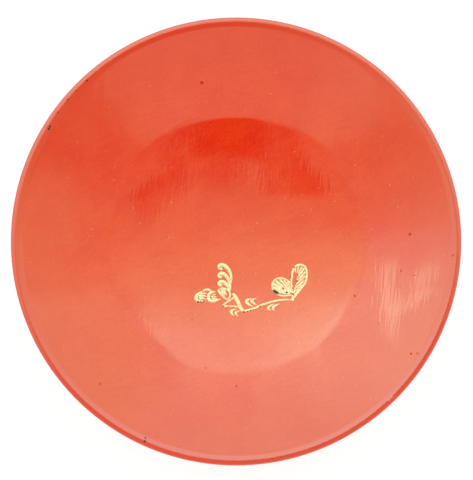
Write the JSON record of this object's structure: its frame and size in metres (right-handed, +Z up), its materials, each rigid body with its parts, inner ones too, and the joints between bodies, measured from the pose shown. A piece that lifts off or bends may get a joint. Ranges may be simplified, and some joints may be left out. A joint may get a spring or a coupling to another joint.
{
  "type": "covered bowl",
  "caption": "Turned wooden bowl with a lift-off dish-shaped cover, lacquered vermilion, with a raised gold sprig on the hollow side of the cover.",
  "frame": {"origin": "on the turning axis in the plane of the bowl's standing edge", "axes": "+Z up along the turning axis; +X to the right and -Y towards the viewer in the picture"},
  "size_m": [0.121, 0.121, 0.0668],
  "materials": {
    "wood": "turned, bare",
    "hemp": "plain weave, bonded",
    "vermilion": "brushed lacquer, satin gloss",
    "foot_lacquer": "dark lacquer",
    "gold": "gold powder sprinkled on lacquer"
  },
  "bodies": {
    "bowl": {"bowl_core": "wood", "bowl_rim_cloth": "hemp", "bowl_foot_cloth": "hemp", "bowl_inside_coat": "vermilion", "bowl_outside_coat": "vermilion", "bowl_foot_coat": "foot_lacquer"},
    "cover": {"cover_core": "wood", "cover_rim_cloth": "hemp", "cover_foot_cloth": "hemp", "cover_inside_coat": "vermilion", "cover_outside_coat": "vermilion", "cover_foot_coat": "foot_lacquer", "sprig_stem": "gold", "sprig_branch": "gold", "sprig_twig_upper": "gold", "sprig_twig_lower": "gold", "sprig_leaf_large": "gold", "sprig_leaf_small": "gold", "sprig_catkin_top": "gold", "sprig_catkin_middle": "gold", "sprig_catkin_low": "gold", "sprig_bud_near": "gold", "sprig_bud_middle": "gold", "sprig_bud_far": "gold", "sprig_bract_1": "gold", "sprig_bract_2": "gold", "sprig_bract_3": "gold", "sprig_bract_4": "gold", "sprig_bract_5": "gold", "sprig_bract_6": "gold"}
  },
  "joints": [
    {"name": "cover_lift", "type": "slide", "parent": "bowl", "child": "cover", "axis": [0, 0, 1], "range_m": [0, 0.06]}
  ]
}
